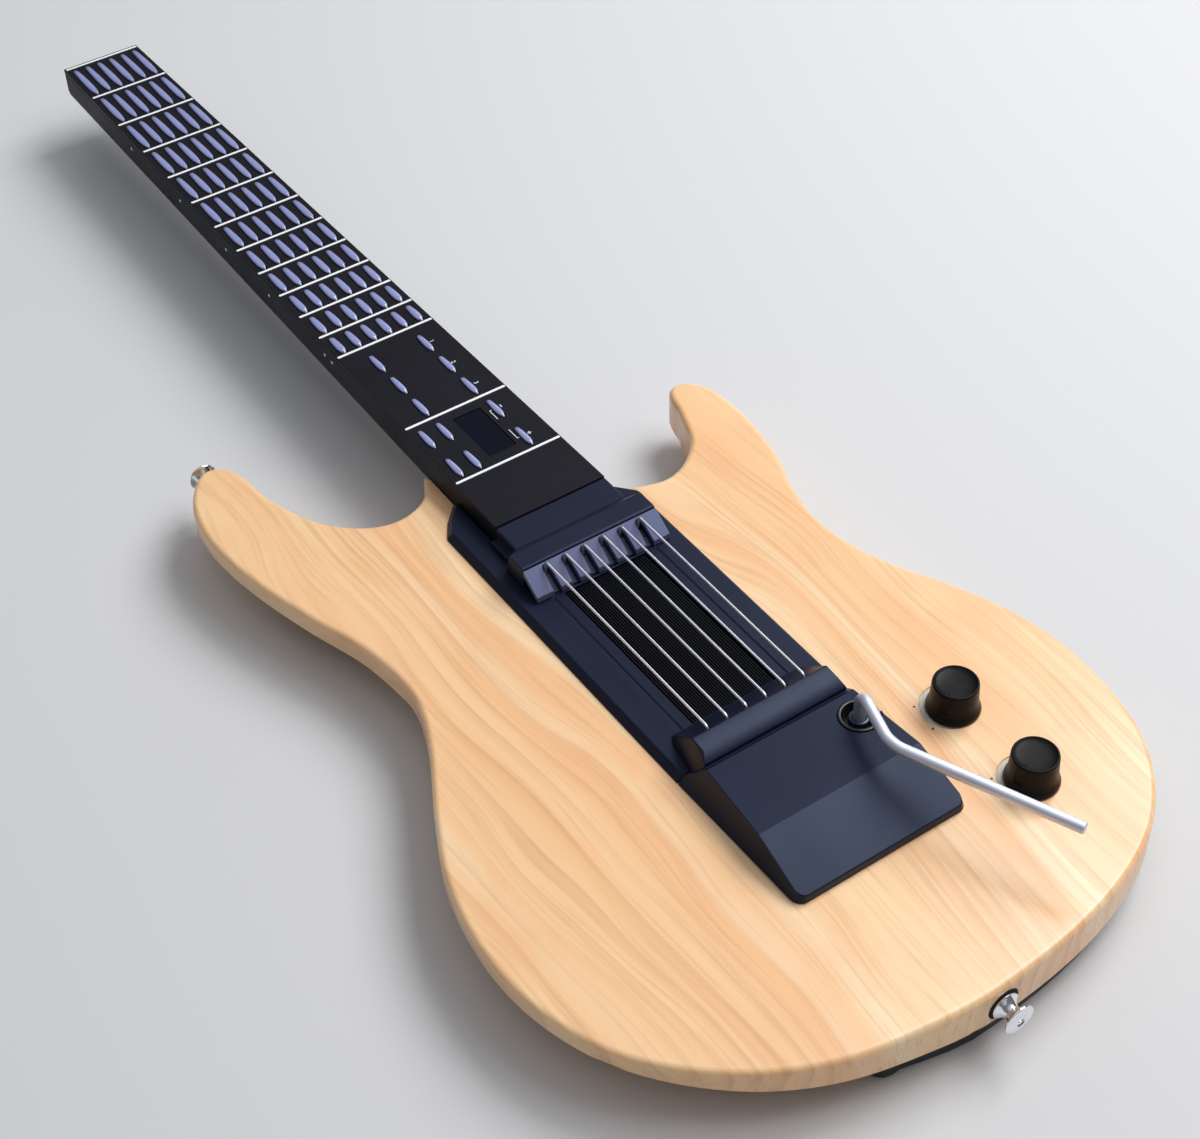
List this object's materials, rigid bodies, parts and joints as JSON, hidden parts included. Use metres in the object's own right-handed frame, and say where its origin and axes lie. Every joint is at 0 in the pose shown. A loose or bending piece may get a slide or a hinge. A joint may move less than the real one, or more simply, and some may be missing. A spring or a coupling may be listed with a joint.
{
  "type": "digital guitar",
  "caption": "Wood-bodied digital guitar with a neck of sprung key bars, short plucked trigger strings, knobs and a whammy arm.",
  "frame": {"origin": "on the flat back of the rear cover, on the centre line, where the 648 mm string scale would end", "axes": "+Y along the neck towards its tip, +X towards the treble side, +Z out of the playing face"},
  "size_m": [0.295, 0.7961, 0.065],
  "materials": {
    "wood": "clear semi-gloss lacquer over pale wood",
    "cover": "fine texture",
    "cells": "plain sleeve",
    "contact": "nickel plated",
    "housing": "satin",
    "panel": "satin",
    "keys": "satin",
    "window": "gloss",
    "display": "matt",
    "board": "solder mask",
    "deck": "satin",
    "comb": "satin",
    "bed": "matt",
    "steel": "bright wire",
    "chrome": "polished",
    "knob": "satin",
    "pot": "zinc plated",
    "felt": "felt",
    "switch": "satin"
  },
  "bodies": {
    "guitar": {"wood_body": "wood", "rear_cover": "cover", "battery_row_left": "cells", "battery_row_right": "cells", "battery_contact": "contact", "neck_housing": "housing", "fret_panel": "panel", "display_window": "window", "display_module": "display", "key_board": "board", "main_board": "board", "string_deck": "deck", "bridge_block": "deck", "tail_block": "deck", "string_comb": "comb", "rib_bed": "bed", "arm_socket": "deck", "upper_potentiometer": "pot", "lower_potentiometer": "pot", "strap_button_end": "chrome", "strap_button_horn": "chrome", "strap_washer_end": "felt", "strap_washer_horn": "felt", "jack_panel": "housing", "string_1": "steel", "string_2": "steel", "string_3": "steel", "string_4": "steel", "string_5": "steel", "string_6": "steel"},
    "fret_key_row_01": {"fret_key_row_01": "keys"},
    "fret_key_row_02": {"fret_key_row_02": "keys"},
    "fret_key_row_03": {"fret_key_row_03": "keys"},
    "fret_key_row_04": {"fret_key_row_04": "keys"},
    "fret_key_row_05": {"fret_key_row_05": "keys"},
    "fret_key_row_06": {"fret_key_row_06": "keys"},
    "fret_key_row_07": {"fret_key_row_07": "keys"},
    "fret_key_row_08": {"fret_key_row_08": "keys"},
    "fret_key_row_09": {"fret_key_row_09": "keys"},
    "fret_key_row_10": {"fret_key_row_10": "keys"},
    "fret_key_row_11": {"fret_key_row_11": "keys"},
    "fret_key_row_12": {"fret_key_row_12": "keys"},
    "select_key_1": {"select_key_1": "keys"},
    "select_key_2": {"select_key_2": "keys"},
    "select_key_3": {"select_key_3": "keys"},
    "mode_key_1": {"mode_key_1": "keys"},
    "mode_key_2": {"mode_key_2": "keys"},
    "mode_key_3": {"mode_key_3": "keys"},
    "setup_key_1": {"setup_key_1": "keys"},
    "setup_key_2": {"setup_key_2": "keys"},
    "setup_key_3": {"setup_key_3": "keys"},
    "setup_key_4": {"setup_key_4": "keys"},
    "value_key_minus": {"value_key_minus": "keys"},
    "value_key_plus": {"value_key_plus": "keys"},
    "battery_lid": {"battery_lid": "cover"},
    "arm_rocker": {"arm_rocker": "chrome"},
    "tremolo_arm": {"tremolo_arm": "chrome"},
    "upper_knob": {"upper_knob": "knob"},
    "lower_knob": {"lower_knob": "knob"},
    "power_switch": {"power_switch": "switch"}
  },
  "joints": [
    {"name": "fret_key_row_01_press", "type": "slide", "parent": "guitar", "child": "fret_key_row_01", "axis": [0, 0, -1], "range_m": [0, 0.001], "stiffness_N_per_m": 1500, "springref_m": -0.0005},
    {"name": "fret_key_row_02_press", "type": "slide", "parent": "guitar", "child": "fret_key_row_02", "axis": [0, 0, -1], "range_m": [0, 0.001], "stiffness_N_per_m": 1500, "springref_m": -0.0005},
    {"name": "fret_key_row_03_press", "type": "slide", "parent": "guitar", "child": "fret_key_row_03", "axis": [0, 0, -1], "range_m": [0, 0.001], "stiffness_N_per_m": 1500, "springref_m": -0.0005},
    {"name": "fret_key_row_04_press", "type": "slide", "parent": "guitar", "child": "fret_key_row_04", "axis": [0, 0, -1], "range_m": [0, 0.001], "stiffness_N_per_m": 1500, "springref_m": -0.0005},
    {"name": "fret_key_row_05_press", "type": "slide", "parent": "guitar", "child": "fret_key_row_05", "axis": [0, 0, -1], "range_m": [0, 0.001], "stiffness_N_per_m": 1500, "springref_m": -0.0005},
    {"name": "fret_key_row_06_press", "type": "slide", "parent": "guitar", "child": "fret_key_row_06", "axis": [0, 0, -1], "range_m": [0, 0.001], "stiffness_N_per_m": 1500, "springref_m": -0.0005},
    {"name": "fret_key_row_07_press", "type": "slide", "parent": "guitar", "child": "fret_key_row_07", "axis": [0, 0, -1], "range_m": [0, 0.001], "stiffness_N_per_m": 1500, "springref_m": -0.0005},
    {"name": "fret_key_row_08_press", "type": "slide", "parent": "guitar", "child": "fret_key_row_08", "axis": [0, 0, -1], "range_m": [0, 0.001], "stiffness_N_per_m": 1500, "springref_m": -0.0005},
    {"name": "fret_key_row_09_press", "type": "slide", "parent": "guitar", "child": "fret_key_row_09", "axis": [0, 0, -1], "range_m": [0, 0.001], "stiffness_N_per_m": 1500, "springref_m": -0.0005},
    {"name": "fret_key_row_10_press", "type": "slide", "parent": "guitar", "child": "fret_key_row_10", "axis": [0, 0, -1], "range_m": [0, 0.001], "stiffness_N_per_m": 1500, "springref_m": -0.0005},
    {"name": "fret_key_row_11_press", "type": "slide", "parent": "guitar", "child": "fret_key_row_11", "axis": [0, 0, -1], "range_m": [0, 0.001], "stiffness_N_per_m": 1500, "springref_m": -0.0005},
    {"name": "fret_key_row_12_press", "type": "slide", "parent": "guitar", "child": "fret_key_row_12", "axis": [0, 0, -1], "range_m": [0, 0.001], "stiffness_N_per_m": 1500, "springref_m": -0.0005},
    {"name": "select_key_1_press", "type": "slide", "parent": "guitar", "child": "select_key_1", "axis": [0, 0, -1], "range_m": [0, 0.001], "stiffness_N_per_m": 600, "springref_m": -0.0005},
    {"name": "select_key_2_press", "type": "slide", "parent": "guitar", "child": "select_key_2", "axis": [0, 0, -1], "range_m": [0, 0.001], "stiffness_N_per_m": 600, "springref_m": -0.0005},
    {"name": "select_key_3_press", "type": "slide", "parent": "guitar", "child": "select_key_3", "axis": [0, 0, -1], "range_m": [0, 0.001], "stiffness_N_per_m": 600, "springref_m": -0.0005},
    {"name": "mode_key_1_press", "type": "slide", "parent": "guitar", "child": "mode_key_1", "axis": [0, 0, -1], "range_m": [0, 0.001], "stiffness_N_per_m": 600, "springref_m": -0.0005},
    {"name": "mode_key_2_press", "type": "slide", "parent": "guitar", "child": "mode_key_2", "axis": [0, 0, -1], "range_m": [0, 0.001], "stiffness_N_per_m": 600, "springref_m": -0.0005},
    {"name": "mode_key_3_press", "type": "slide", "parent": "guitar", "child": "mode_key_3", "axis": [0, 0, -1], "range_m": [0, 0.001], "stiffness_N_per_m": 600, "springref_m": -0.0005},
    {"name": "setup_key_1_press", "type": "slide", "parent": "guitar", "child": "setup_key_1", "axis": [0, 0, -1], "range_m": [0, 0.001], "stiffness_N_per_m": 600, "springref_m": -0.0005},
    {"name": "setup_key_2_press", "type": "slide", "parent": "guitar", "child": "setup_key_2", "axis": [0, 0, -1], "range_m": [0, 0.001], "stiffness_N_per_m": 600, "springref_m": -0.0005},
    {"name": "setup_key_3_press", "type": "slide", "parent": "guitar", "child": "setup_key_3", "axis": [0, 0, -1], "range_m": [0, 0.001], "stiffness_N_per_m": 600, "springref_m": -0.0005},
    {"name": "setup_key_4_press", "type": "slide", "parent": "guitar", "child": "setup_key_4", "axis": [0, 0, -1], "range_m": [0, 0.001], "stiffness_N_per_m": 600, "springref_m": -0.0005},
    {"name": "value_key_minus_press", "type": "slide", "parent": "guitar", "child": "value_key_minus", "axis": [0, 0, -1], "range_m": [0, 0.001], "stiffness_N_per_m": 600, "springref_m": -0.0005},
    {"name": "value_key_plus_press", "type": "slide", "parent": "guitar", "child": "value_key_plus", "axis": [0, 0, -1], "range_m": [0, 0.001], "stiffness_N_per_m": 600, "springref_m": -0.0005},
    {"name": "battery_lid_hinge", "type": "hinge", "parent": "guitar", "child": "battery_lid", "pos_m": [-0.05135, 0.018, 0.0016], "axis": [0, 1, 0], "range_deg": [0, 90]},
    {"name": "arm_tilt", "type": "hinge", "parent": "guitar", "child": "arm_rocker", "pos_m": [0.0307, -0.0076, 0.0434], "axis": [1, 0, 0], "range_deg": [-4, 5], "stiffness_Nm_per_rad": 4, "springref_deg": -0.21},
    {"name": "arm_swing", "type": "hinge", "parent": "arm_rocker", "child": "tremolo_arm", "pos_m": [0.0307, -0.0076, 0.0434], "axis": [0, 0, 1], "continuous": true},
    {"name": "upper_knob_turn", "type": "hinge", "parent": "guitar", "child": "upper_knob", "pos_m": [0.0746, -0.0175, 0.0345], "axis": [0, 0, 1], "range_deg": [-140, 140]},
    {"name": "lower_knob_turn", "type": "hinge", "parent": "guitar", "child": "lower_knob", "pos_m": [0.0745, -0.0663, 0.0345], "axis": [0, 0, 1], "range_deg": [-140, 140]},
    {"name": "power_switch_slide", "type": "slide", "parent": "guitar", "child": "power_switch", "axis": [0, 1, 0], "range_m": [0, 0.0036]}
  ]
}
